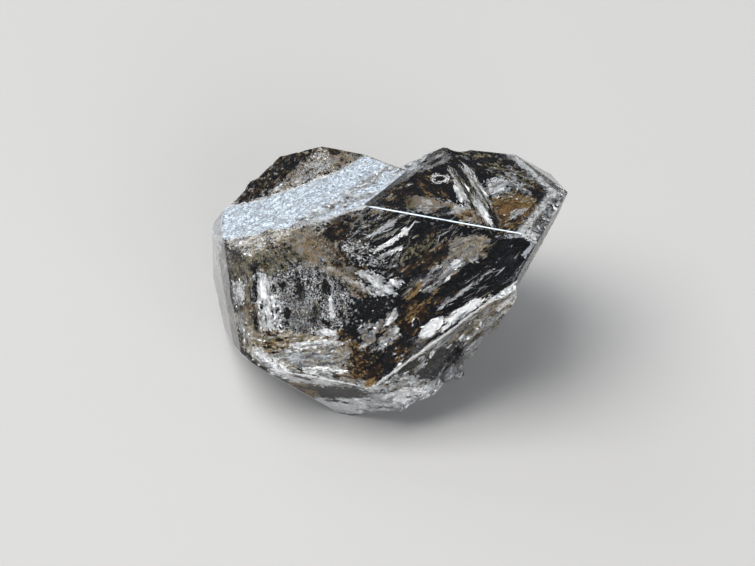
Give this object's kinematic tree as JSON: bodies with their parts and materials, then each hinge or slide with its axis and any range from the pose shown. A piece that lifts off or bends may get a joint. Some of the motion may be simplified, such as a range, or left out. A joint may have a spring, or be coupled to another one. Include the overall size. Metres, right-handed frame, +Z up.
{
  "type": "petroleum quartz crystal",
  "caption": "Clear loose quartz crystal with sharp faces, a frosted shoulder, stepped lower edge and brown petroleum inclusions, lying on a flat crystal face.",
  "frame": {"origin": "middle of the stone's box, at the level that the stone rests on", "axes": "+Z up, away from the face that the stone lies on; +X towards the tip's side; -Y towards the broad front face"},
  "size_m": [0.0178, 0.0138, 0.0101],
  "materials": {
    "quartz": "clear and glossy on the broad faces, frosted on the shoulder, the rim of the tip and the lower right edge"
  },
  "bodies": {
    "root": {"quartz_crystal": "quartz"}
  },
  "joints": []
}
